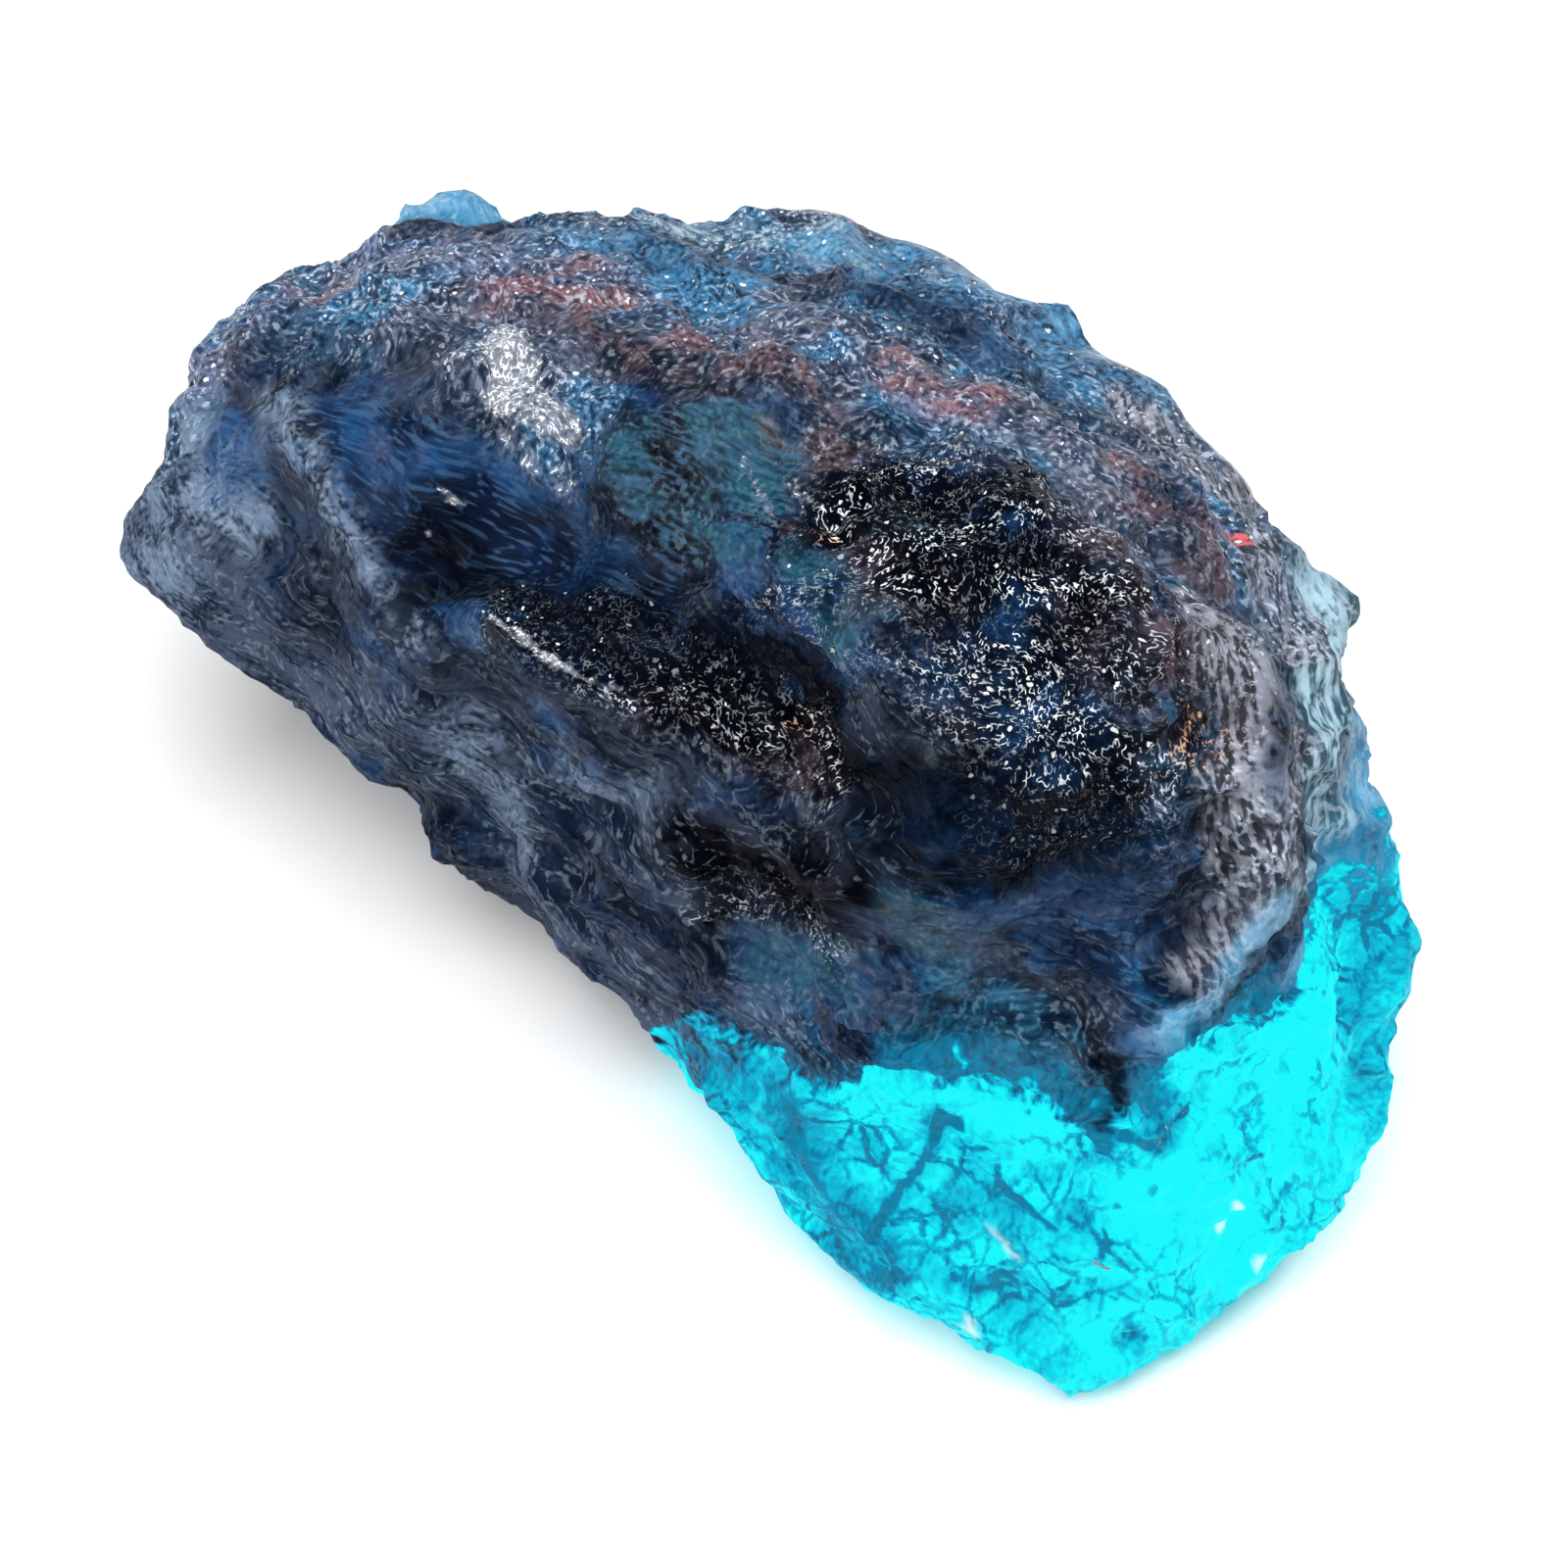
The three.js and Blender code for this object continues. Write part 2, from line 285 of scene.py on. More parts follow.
CREASES = [
    (0.5, 1.0, [(14.8, -5.9, 10.6), (14.6, -6.6, 8.2), (14.4, -7.9, 6.5), (14.4, -10, 4.4)]),
    (0.4, 0.8, [(14.6, -5.8, 12.7), (14.7, -6, 10.5), (15, -5.8, 10.7), (15.3, -5, 12.7)]),
    (0.45, 1.0, [(15.1, -5.8, 10.5), (16.6, -5.5, 8.6), (18.2, -5.5, 8.2), (19.7, -5.6, 7.9),
                 (21.3, -5.5, 7.2)]),
    (0.4, 0.9, [(17.2, -5.4, 8.5), (18.6, -4.9, 9.2), (20.7, -4.2, 8.9), (21.7, -4, 8.2),
                (22.5, -4.6, 7.1)]),
    (0.4, 0.8, [(15.3, -6.5, 7.9), (16.4, -7.6, 6.1), (17.4, -8.3, 5.4)]),
    (0.45, 0.9, [(17.5, -8.4, 5.3), (19.3, -7.9, 4.5), (20.8, -6.8, 4.4), (22.7, -5.9, 5),
                 (23.6, -4.6, 4.9)]),
    (0.35, 0.7, [(18.3, -4.4, 10.4), (18.3, -4.2, 11.4), (18.8, -3.7, 12), (19.6, -3.3, 11.4),
                 (19.8, -3.5, 10.1)]),
    (0.7, 0.5, [(12.1, -6.8, 14.2), (14.7, -5, 13.3), (16.7, -3.7, 13), (18.1, -3.1, 13),
                (19.2, -1.9, 12.8)]),
    (0.5, 1.0, [(21.8, -3.2, 8.9)]),
    (0.5, 1.0, [(22.5, -1.9, 9.7)]),
    (0.6, 1.0, [(20.9, -0.9, 13.3), (21.1, -0.8, 12.5)]),
    (0.45, 0.9, [(20.8, -1.9, 11.7), (21.6, -1.3, 11.1), (21.8, -0.2, 11.3), (21.8, 1, 11.5)]),
    (0.4, 0.9, [(24.3, 2.2, 8.9), (24.6, 3.3, 8.3)]),
    (0.9, 0.6, [(9.5, -9.5, 9.4), (10.4, -9.9, 7.6), (11.8, -10.1, 6.3), (13.6, -10.1, 4.3)]),
]
STEADY = 0.3  # share of the fraying that the creases follow

turn = np.degrees(np.arctan2(frayed[:, 1] - GLOW_MIDDLE[1], frayed[:, 0] - GLOW_MIDDLE[0]))
edge = np.interp(turn, *np.array(GLOW_EDGE, float).T)
glow = smooth((edge - frayed[:, 2]) / GLOW_SOFTNESS + 0.5)
store("glow", glow)
reach = np.interp(turn, *np.array(AFTERGLOW, float).T)
store("afterglow", reach * smooth((edge - frayed[:, 2]) / AFTERGLOW_REACH + 0.75))
store("dim", paint(DIM))
store("blaze", paint(BLAZE))
steady = home + STEADY * (frayed - home)
store("crease", paint(CREASES, steady))

# %% [markdown]
# The other masks are lists of strokes. Haze is dust, smoke is thicker pale dust, and frost is the
# granular skin of the far side. Pale parts are thin clear edges; their white streaks are partly
# painted light, standing for light seen through them and sheen at their rims. Azure and teal ones
# show the blue inside, rust is stained, calm faces are smooth, pitted ones are corroded, and shade
# is painted shade, near black where shade falls in deep hollows. Glitter is where the painted
# glints gather. Where they run together into a white patch or line, another mask paints that
# highlight.

# %% Painted masks
HAZE = [
    (7.0, 1.0, [(-29, -11, 14), (-24, -12, 14), (-19, -11, 12)]),
    (6.5, 1.0, [(-14, -10, 14), (-9, -9.3, 12), (-5, -8.7, 9), (0, -9, 7)]),
    (3.4, 0.9, [(-11.5, -10, 16), (-7, -8.6, 14.6), (-1.5, -7.5, 16), (2, -7.5, 16)]),
    (3.6, 0.4, [(9, -5, 19), (13, -3, 19), (16, -1, 18.5), (18, 1, 17)]),
    (3.0, 0.6, [(-2, -6.5, 18.5), (5, -5, 20), (9, -4.5, 21)]),
    (1.5, 0.9, [(5.8, -8.1, 12.4), (8, -8, 12), (10.7, -8, 12.6)]),
    (1.6, 0.8, [(5.8, -2, 25.8), (6.5, -2.5, 24.5)]),
    (6.0, 0.9, [(-30, 8, 10), (-22, 14, 11), (-12, 17, 9), (-4, 18, 12), (6, 17, 9), (12, 17, 8)]),
]
THIN_DUST = 0.5  # how dusty the stone is where nothing else is painted
SMOKE = [
    (1.5, 1.0, [(-27.5, -4.7, 19.8), (-22.8, -6.4, 21.5), (-18.9, -7.5, 21.2),
                (-15.7, -8.3, 20.1), (-13.4, -8.9, 19.5)]),
    (2.4, 1.0, [(-30, -8, 17.4), (-29, -10.2, 16.5), (-26.5, -9.1, 17.6), (-23.5, -9.3, 17.6)]),
    (1.0, 1.0, [(15.7, 4.1, 23.8)]),
    (4.0, 0.9, [(-27.4, -12.7, 13.9), (-26.9, -11.4, 15.9), (-27.5, -9.6, 17.2)]),
    (2.2, 0.8, [(-9.9, -9.2, 15), (-8.2, -9.2, 13.8), (-7.9, -8.8, 10.8)]),
    (2.0, 0.7, [(-4.6, -7.7, 16.7), (-2.2, -7.2, 17.2), (0.6, -7.1, 17.9)]),
    (1.8, 0.9, [(13.3, 13, 23.1), (15.1, 13.2, 20.8), (17.2, 10, 21.4), (19.4, 6.6, 20.5)]),
    (1.6, 0.7, [(19, 11.1, 15.3), (20.8, 6, 18.7), (20.8, 3.2, 17.8), (20.6, 0.3, 16.6)]),
    (2.6, 0.6, [(-30, 4, 20.5), (-27, 8, 21), (-24, 12, 21)]),
    (1.8, 0.8, [(-21.2, 16.7, 20), (-18.8, 17.5, 20.4), (-15.3, 17.8, 21.3)]),
    (1.2, 0.8, [(-0.3, 10.1, 26.9), (1.8, 11.2, 26.8), (4.2, 12.1, 26.5), (5.5, 13.3, 25.7)]),
]
FROST = [
    (4.5, 1.0, [(-32, -6.9, 16.9), (-33.8, -3.3, 17.9), (-32.1, 0.6, 19.5), (-33.3, 4, 18),
                (-28, 6, 21)]),
    (4.0, 1.0, [(-25.6, 7, 21.9), (-24.7, 9.7, 21.3), (-23.4, 12, 21)]),
    (6.5, 1.0, [(-27, 2, 22), (-22, 8, 23), (-16, 10, 24.5), (-10, 11, 26), (-4, 12, 26),
                (2, 14, 25)]),
    (6.5, 1.0, [(-24, 14, 20), (-20, 17, 19.5), (-12, 20, 20.5), (-4, 21.5, 20), (4, 21.5, 19),
                (9, 18, 20)]),
    (4.5, 0.8, [(2, 14, 25), (7, 12, 26), (12, 10, 25), (14, 6, 25)]),
    (3.6, 0.9, [(-20, 1.5, 25), (-17, 1, 25), (-13.5, 0.8, 25)]),
]
PALE = [
    (1.5, 0.6, [(-18, 17.8, 21), (-15.7, 18.6, 21.2), (-13.6, 18.6, 21.6)]),
    (2.6, 0.8, [(-36.5, 9.5, 15.6), (-35, 11.5, 15.8), (-31, 13, 15.5)]),
    (0.7, 0.9, [(-15.7, 20.5, 20), (-10, 22.5, 19.5), (-4, 23.3, 19.5), (0, 23.3, 19),
                (5, 22.3, 18.7)]),
    (3.2, 1.0, [(10.4, 21, 16.7), (12, 22.5, 16), (13.1, 20.3, 16.4), (16, 17.8, 15),
                (18, 17, 13.5)]),
    (2.0, 1.0, [(13.1, 18.3, 18.8), (16.1, 15.3, 17.8), (17.3, 13.5, 16.7), (18, 14.5, 14.2)]),
    (1.1, 0.8, [(-22.8, 13.9, 20.9), (-20, 16.1, 20.4), (-17.6, 17.6, 20.5), (-16.8, 19.9, 20.3)]),
    (1.3, 0.75, [(19, 11.1, 15.3), (20.6, 6.1, 19.1), (20.9, 3.7, 17.9), (20.6, 0.3, 16.6)]),
    (1.5, 0.9, [(20, 16.1, 11.7), (19.3, 12.9, 12.4), (20.3, 10.6, 12.6), (21.1, 7.9, 13.8)]),
    (1.8, 0.7, [(-36, -4, 16), (-35, 1, 17)]),
]
AZURE = [
    (3.0, 1.0, [(-21.8, -3.9, 22.2), (-18.7, -3.7, 23.1), (-16.2, -3.2, 22.8),
                (-14.6, -2.6, 21.8)]),
    (2.6, 0.7, [(-14.9, -3.5, 21.1), (-11.1, -2.6, 21), (-8, -2.8, 22.6)]),
    (2.6, 1.0, [(-27.9, -7.7, 18.2), (-25.4, -7.7, 19)]),
    (3.6, 1.0, [(-22.3, 11.4, 21.8), (-19.8, 12.4, 22.2), (-16.4, 12.8, 23)]),
    (3.4, 1.0, [(-15.7, 18.8, 21.3), (-13, 18.6, 21.5), (-8.5, 15.6, 24.1)]),
    (3.0, 0.8, [(-9.2, 17.9, 23.3), (-6.6, 17.2, 23.7), (-4.6, 17.3, 23.3)]),
    (2.2, 0.8, [(8.7, 3.4, 28.1), (10.1, 3.4, 27.7)]),
    (2.4, 0.8, [(10.9, 1.5, 27.3), (12.8, 1.6, 26.7)]),
    (3.0, 1.0, [(10.7, -3.2, 23.8), (13.5, -0.8, 22.9), (15.6, 2.1, 23.3), (16.4, 2.9, 22.7)]),
    (2.4, 0.6, [(5, -1, 28.2), (7, 0, 28.3)]),
    (4.0, 0.8, [(10.5, -5.2, 18.4), (14.3, -1.4, 20.4), (17.2, 0.9, 19)]),
    (3.6, 1.0, [(21, 5.3, 18.4), (20.5, 3, 18), (20.6, 0.3, 16.6)]),
    (2.6, 0.9, [(16.7, 17.7, 14.6), (18, 17, 13.5), (20, 16.1, 11.7), (19.3, 12.9, 12.4),
                (21.1, 7.9, 13.8)]),
    (2.6, 0.8, [(5.9, -6.5, 13), (7.7, -6.1, 14.6), (9.7, -6.3, 16.6)]),
    (2.6, 0.9, [(9.7, -5, 21.5), (12, -4, 19), (14, -3.2, 17)]),
    (2.0, 0.9, [(-0.1, 0.6, 26.9), (1.7, 0.3, 27), (4, -0.2, 28)]),
    (2.4, 1.0, [(-5.6, 5, 26.8), (-4.2, 3.2, 26.5), (-2.8, 1.7, 26.6), (-2.4, -0.3, 25.8)]),
    (4.0, 1.0, [(-14.7, 19.5, 21), (-12, 21.5, 20), (-6, 22.5, 20), (-2, 22.5, 19.5)]),
    (3.0, 1.0, [(-11.4, 17.6, 22.6), (-8, 17.6, 22.6)]),
    (3.0, 1.0, [(-36.5, 9.5, 15.6), (-34, 12, 15.8), (-31, 13, 15.5)]),
]
TEAL = [
    (2.4, 1.0, [(-9.2, 0.6, 25.6), (-7, 2.2, 26), (-4.6, 2.6, 26.2), (-3.4, 2.4, 26.6)]),
    (1.8, 1.0, [(-7.6, 0.2, 25.2), (-6.2, 0, 24.5), (-4.2, 0.2, 24.4), (-2.8, 0, 25.8)]),
    (2.0, 1.0, [(-8.4, 2.3, 26.6), (-7.6, 3.8, 27.1), (-5.4, 4.5, 26.7), (-4, 3.7, 26.6)]),
    (1.9, 1.0, [(-0.1, 0.6, 26.9), (1.7, 0.3, 27), (4, -0.2, 28), (3.6, -1.1, 27)]),
    (1.6, 0.8, [(1.5, 3.4, 28.2), (3.6, 4.2, 28.6)]),
    (2.6, 0.8, [(5.9, -6.5, 13), (7.7, -6.1, 14.6), (9.7, -6.3, 16.6)]),
    (2.6, 0.8, [(9.7, -5, 21.5), (12, -4, 19), (14, -3.2, 17)]),
    (2.4, 0.7, [(13.6, -3, 15.8), (15.3, -1.9, 14.9), (17.4, -1.6, 15.7)]),
    (1.8, 0.6, [(2.2, 12, 26.5), (4.6, 12, 26.5)]),
]
RUST = [
    (4.0, 0.45, [(-32, -5, 17.5), (-32.1, 0.6, 19.5), (-31.2, 5.5, 19), (-25.6, 7, 21.9)]),
    (4.2, 1.0, [(-21.6, 6.6, 23.6), (-18.4, 6.5, 24.1), (-15.3, 6.6, 25), (-10.3, 6.9, 26.6)]),
    (2.0, 0.9, [(-8, 6.9, 27.7), (-6.1, 7.2, 27.4)]),
    (2.2, 0.9, [(-5.3, 5.3, 26.9), (-3.8, 6, 27.1), (-2.4, 6.1, 27.2)]),
    (2.6, 0.8, [(1.3, -7.3, 17.6), (3.2, -6.5, 17.3), (5.2, -5.2, 16.6), (7.4, -6.4, 20.4)]),
    (1.1, 1.0, [(-1.2, 1.7, 27.1), (0.2, 2.2, 27.3)]),
    (2.4, 0.6, [(-1, -5, 21.4), (1.3, -4, 20.8), (4, -2.3, 21)]),
    (2.6, 0.9, [(-5.6, 12, 25.8), (-3.8, 11, 26.4), (-1, 12, 26.6)]),
    (3.0, 0.8, [(4.6, 13.4, 26.1), (7, 14.5, 24.3), (9.2, 15.1, 23.2)]),
    (2.6, 0.7, [(7.5, 9.8, 27.3), (8.5, 10.5, 26.5), (12, 8, 26)]),
    (1.5, 1.0, [(14.3, 7.1, 24.3), (15.1, 7.4, 23.8)]),
    (2.6, 0.6, [(2.6, 1.6, 28.2), (4.8, 1.6, 28.6)]),
    (2.2, 0.5, [(9.5, 6, 27.6), (11.5, 5.4, 26.8)]),
    (3.0, 0.5, [(-30, 3, 20), (-28, 7, 20)]),
    (1.4, 0.3, [(-19.8, -4.5, 22.2), (-18.3, -4.7, 22.4)]),
]
# Where the painted glints are tinted gold.
GOLD_GLINT_PLACES = [
    (2.0, 1.0, [(14.3, 7.1, 24.3), (15.1, 7.4, 23.8)]),
    (1.3, 1.0, [(3, -2.2, 21.4)]),
    (1.2, 0.9, [(-1.2, 1.7, 27.1), (0.2, 2.2, 27.3)]),
    (2.4, 0.4, [(4.6, 13.4, 26.1), (7, 14.5, 24.3)]),
]
RED_PLACES = [
    (0.85, 0.8, [(8.2, 17.5, 21.8), (8.8, 17.9, 21.4)]),
    (0.5, 0.8, [(22.6, -4.6, 6.4)]),
]
PITTED = [
    (2.2, 1.0, [(11.5, 11.6, 24.6), (13.9, 10, 25.1), (15.6, 8.5, 23.8), (17.1, 7.5, 22.5),
                (19.1, 6.4, 20.5)]),
    (2.0, 0.9, [(6, 21.3, 19.3), (9.6, 18.2, 21), (12.3, 16.4, 19.8), (13.5, 17.8, 19)]),
    (1.6, 0.8, [(19.1, 6.4, 20.5), (19.6, 4.9, 19.3), (19.8, 2.5, 18.4)]),
    (1.4, 0.9, [(-0.6, 21, 20.9), (2.3, 20.9, 20.3), (4.3, 20.1, 20.7), (5.9, 20.1, 20.1)]),
    (1.6, 0.8, [(16.1, 13.3, 18.4), (17.8, 11.1, 18.3)]),
]
# Painted shade: strokes that turn deep hollows and recesses near black, where shade falls.
SHADE = [
    (3.4, 1.0, [(1.3, -7.3, 17.6), (3.2, -6.5, 17.3), (5.2, -5.2, 16.6), (8.7, -6.2, 20.9)]),
    (3.0, 0.9, [(3, -1.6, 24), (7, -3, 22.8), (10, -4, 23)]),
    (3.0, 0.8, [(-10, -4, 22), (-6.6, -4.3, 22.7), (-2, -3.3, 23.2), (1.6, -1.6, 23.3)]),
    (1.1, 0.35, [(10.4, -7.8, 13.4), (11.2, -7.5, 14.4)]),
    (0.9, 0.75, [(18.6, -2.2, 15.2), (19.4, -1.7, 15), (20.1, -1.5, 13.6), (20.7, -1.9, 12.5)]),
    (1.6, 0.8, [(19, 1.3, 17.8), (19, 3.4, 18.4)]),
    (4.0, 0.9, [(7, -2.9, 22.8), (10.5, -2.4, 24.1), (12.9, -0.8, 23.7), (14.9, 1.3, 23.4)]),
    (2.2, 0.8, [(-15, -5.5, 20.5), (-11, -5.5, 20.6), (-8, -5.4, 21)]),
]
CALM = [
    (3.4, 1.0, [(-21.9, -4.4, 21.8), (-18.3, -4.7, 22.4), (-15.9, -4.1, 21.9), (-14, -3.2, 21)]),
    (3.6, 1.0, [(-12.6, -3.4, 20.4), (-8.6, -3.6, 21.5), (-5.3, -3.2, 22.9)]),
    (2.6, 0.8, [(-15.5, -6.3, 20.5), (-12.6, -6.1, 20.3), (-10, -6, 21)]),
    (2.6, 0.8, [(-27.9, -7.7, 18.2), (-25.4, -7.7, 19)]),
    (3.4, 0.8, [(9.7, -5, 21.5), (12, -4, 19), (14, -3.2, 17)]),
    (1.6, 1.0, [(15.2, 10.9, 24.3), (16.6, 10, 23.4), (17.6, 8.6, 22.5)]),
]
# Painted highlights: white patches and lines where glints run together, and white spots in the lit
# end.
GLARE = [
    (2.0, 0.9, [(-18.6, 1.9, 25.3), (-16.6, 0.9, 25), (-16.1, -0.1, 24.7)]),
    (1.5, 0.8, [(-15.6, 0.3, 24.9), (-14.2, 0.2, 24.8), (-12.7, 0.3, 24.5)]),
    (1.2, 0.6, [(-15.4, -1, 24), (-13.7, -1, 23.1), (-11.6, -1.1, 23)]),
    (0.42, 1.0, [(-9.5, -7, 22), (-7.7, -6.9, 22.4), (-6.2, -6.8, 22.5), (-4.6, -6.7, 22.5)]),
    (0.4, 0.6, [(-4.3, -6.5, 22.4), (-2.2, -5.4, 21.7)]),
    (0.36, 1.0, [(-16.6, -4.4, 22.2), (-15.1, -3.8, 21.2)]),
    (0.36, 0.9, [(-15.3, -5.3, 20.7), (-14.6, -4.9, 20.6)]),
    (0.6, 1.0, [(19.8, -9.4, 2.9), (20.1, -8.9, 3.6)]),
    (0.5, 0.9, [(25.1, 0.8, 7.2)]),
    (0.45, 0.9, [(25, 0.2, 6.1)]),
    (0.6, 0.9, [(26.5, 1, 4.4)]),
    (0.3, 0.6, [(16.2, -5.9, 8.4), (17.7, -6.6, 7.2), (19.7, -6.9, 6)]),
    (0.35, 0.8, [(19.7, -4.6, 9), (21, -4.5, 8.2)]),
    (0.5, 0.6, [(-5.4, 3.1, 26.3), (-3.7, 2.4, 26.6), (-2.1, 1.5, 26.8)]),
    (0.6, 0.6, [(-3, 3.6, 26.9), (-1.6, 3, 27.3)]),
]
# Painted highlights: where the painted glints gather.
GLITTER = [
    (7.6, 1.0, [(2, 3.5, 27.5), (8, 5, 28), (12, 7, 26), (12, 3.5, 26.6)]),
    (3.2, 0.9, [(-9, -5.6, 22), (-6, -5.2, 22.8), (-1, -4.4, 22), (4.2, -2.1, 21.5)]),
    (3.0, 0.45, [(-18, 0.5, 25), (-14, 0, 25)]),
    (2.2, 0.6, [(3, -6.5, 15), (8, -6, 16)]),
    (4.0, 0.7, [(12, 11, 25), (14.5, 7, 24.5)]),
    (1.6, 0.9, [(21.6, -0.6, 12.2), (22.2, 0.6, 11.4)]),
]
painted = {name: paint(strokes) for name, strokes in {
    "haze": HAZE, "smoke": SMOKE, "frost": FROST, "pale": PALE, "azure": AZURE, "teal": TEAL,
    "rust": RUST, "shade": SHADE, "glitter": GLITTER, "calm": CALM, "gold": GOLD_GLINT_PLACES,
    "red": RED_PLACES, "pitted": PITTED,
}.items()}
covered = [painted[name] for name in ("frost", "teal", "shade", "glitter", "calm", "pitted")]
bare = 1 - np.max(covered, axis=0)
painted["haze"] = np.maximum(painted["haze"], THIN_DUST * bare)
painted["glare"] = paint(GLARE, steady)
for name, mask in painted.items():
    store(name, mask)

ROUGH_GRAIN = 0.08  # how high the grain stands, in mm, on broken stone
SMOOTH_GRAIN = 0.02  # and on smooth faces
COARSE_GRAIN = 0.1  # and how much higher it stands on frosted, rusty and glittering stone
slick = np.max([painted[name] for name in ("calm", "teal", "pale")], axis=0)
coarse_parts = np.max([painted["frost"], painted["rust"], 0.8 * painted["glitter"]], axis=0)
coarse_parts *= 1 - 0.9 * smooth(painted["calm"])
grain_height = ROUGH_GRAIN + (SMOOTH_GRAIN - ROUGH_GRAIN) * smooth(slick)
grain_height += COARSE_GRAIN * coarse_parts
store("grain height", grain_height)

# %% [markdown]
# Broad variation, wider than the mesh is fine, is worked out once per point and stored as well. A
# noise node would give the same and cost time at every sample of a render. The same goes for the
# places that the finer patterns are read from, which are stirred so that no pattern looks regular.
# Glints gather in bands, which lie along the layers of the dome.

# %% Broad variation
STIRRED = 0.7
BAND_TURN = math.radians(45)

along_bands = frayed @ (math.cos(BAND_TURN), math.sin(BAND_TURN), 0)
across_bands = frayed @ (-math.sin(BAND_TURN), math.cos(BAND_TURN), 0)
in_bands = np.stack([along_bands * 0.3, across_bands, frayed[:, 2]], 1)
store("clouded", np.clip(0.5 + 0.9 * fray(frayed, 4.5, 3.3), 0, 1))
store("blotch", np.clip(0.5 + 0.9 * fray(frayed * (0.55, 0.6, 1.1), 2.2, 8.7), 0, 1))
store("bands", np.clip(0.5 + 0.9 * fray(in_bands, 1.9, 12.4), 0, 1))
store_places("grain place", home + STIRRED * stir(home, 3.0, 40.0))

# %% [markdown]
# ## Grain you can feel
# The stone broke along its layers, which lie nearly level, so its steep sides are fluted and
# stepped. Displace modifiers push the points along their normals by procedural textures. One
# texture is stretched by an empty that is scaled like a thin sheet, which makes the layers. The
# flat foot gets no weight in the vertex group, so it stays flat on the table.

# %% Relief
def group(name, weights):
    made = stone.vertex_groups.new(name=name)
    for i, w in enumerate(weights):
        if w > 0.01:
            made.add([i], float(w), "REPLACE")
    return name


def texture(name, kind, **settings):
    made = bpy.data.textures.new(name, kind)
    for key, value in settings.items():
        setattr(made, key, value)
    return made


def displace(name, made, high, weights, stretch=(1, 1, 1), tilt=(0, 0, 0)):
    """Raises the stone by up to `high` mm where the texture is light. `stretch` is in mm."""
    bpy.ops.object.empty_add(rotation=tilt)
    sheet = bpy.context.active_object
    sheet.scale = Vector(stretch) * MM
    bpy.context.view_layer.update()
    only(stone)
    push = stone.modifiers.new(name, "DISPLACE")
    push.texture = made
    push.texture_coords = "OBJECT"
    push.texture_coords_object = sheet
    push.strength = high * MM
    push.mid_level = 0.5
    push.vertex_group = weights
    bpy.ops.object.modifier_apply(modifier=name)
    bpy.data.objects.remove(sheet)
    print("relief:", name)


FAR_RIM = [
    (3.4, 0.9, [(-17, 20.5, 19.5), (-12, 22, 19.5), (-6, 23, 19.5), (0, 23, 19), (4.6, 22, 18.7)]),
]

free = smooth((home[:, 2] - 0.15) / 0.8)
steep = free * smooth(1.6 * (1 - np.abs(facing[:, 2])))
polished = np.maximum(0.9 * paint(TEAL + CALM + FAR_RIM), 0.5 * paint(HAZE + PALE))
GROUPS = {
    "steep": steep,
    "calm": free * paint(CALM + TEAL[:4]),
    "rough": free * (1 - polished),
}
for name, weights in GROUPS.items():
    group(name, weights)

only(stone)
even = stone.modifiers.new("even", "SMOOTH")
even.factor = 0.5
even.iterations = 25
even.vertex_group = "calm"
bpy.ops.object.modifier_apply(modifier="even")

clouds = texture("clouds", "CLOUDS", noise_scale=1.0, noise_depth=2)
cells = texture("cells", "VORONOI", noise_scale=1.0)
chips = texture("chips", "VORONOI", noise_scale=1.0, weight_1=-1, weight_2=1)
displace("layers", clouds, 0.5, "steep", stretch=(5, 3.4, 0.9), tilt=(0.06, -0.05, 0.2))
displace("fibres", clouds, 0.3, "steep", stretch=(2.4, 2.0, 0.45), tilt=(0.06, 0.2, 0))
displace("chips", chips, 0.7, "rough", stretch=(2.6, 2.2, 1.7), tilt=(0.5, 0.3, 0.2))
displace("pebbles", cells, 0.45, "rough", stretch=(1.0, 0.9, 0.8))
displace("grain", clouds, 0.3, "rough", stretch=(0.5, 0.45, 0.4))

# %% [markdown]
# Displacing may carry a point past the box of the solid or under the table. Such points are brought
# back, because the dressed stone has to be the size of the solid that it stands for.

# %% Keep to size
low, high_corner = (np.array(c) for c in cad_box)
settled = np.clip(points_of(stone.data), low, high_corner)
stone.data.vertices.foreach_set("co", settled.ravel())
stone.data.update()
print("stone box in mm:", (settled.min(0) / MM).round(2), (settled.max(0) / MM).round(2))

# %% [markdown]
# ## Sapphire
# One material covers the stone. Its colour starts from navy and is mixed, mask by mask, with the
# other tints. Streaks of stretched noise run along the layers, and fine bump catches the light.

# %% Node helpers
def new_material(name):
    made = bpy.data.materials.new(name)
    made.use_nodes = True
    return made, made.node_tree


def node(tree, kind, settings=None, **inputs):
    """Adds a node. Settings are its own choices, and inputs are its sockets' values or links."""
    made = tree.nodes.new("ShaderNode" + kind)
    for key, value in (settings or {}).items():
        setattr(made, key, value)
    for key, value in inputs.items():
        numbered = key[0] == "i" and key[1:].isdigit()
        socket = made.inputs[int(key[1:]) if numbered else key]
        if isinstance(value, bpy.types.NodeSocket):
            tree.links.new(value, socket)
        else:
            socket.default_value = value
    return made


def mix(tree, factor, first, second):
    """Blends two colours: the first where the factor is 0, the second where it is 1."""
    made = node(tree, "Mix", {"data_type": "RGBA"})
    sockets = (made.inputs[0], made.inputs[6], made.inputs[7])
    for socket, value in zip(sockets, (factor, first, second)):
        if isinstance(value, bpy.types.NodeSocket):
            tree.links.new(value, socket)
        else:
            socket.default_value = value
    return made.outputs[2]


def math_node(tree, operation, first, second=0.0):
    return node(tree, "Math", {"operation": operation}, i0=first, i1=second).outputs[0]


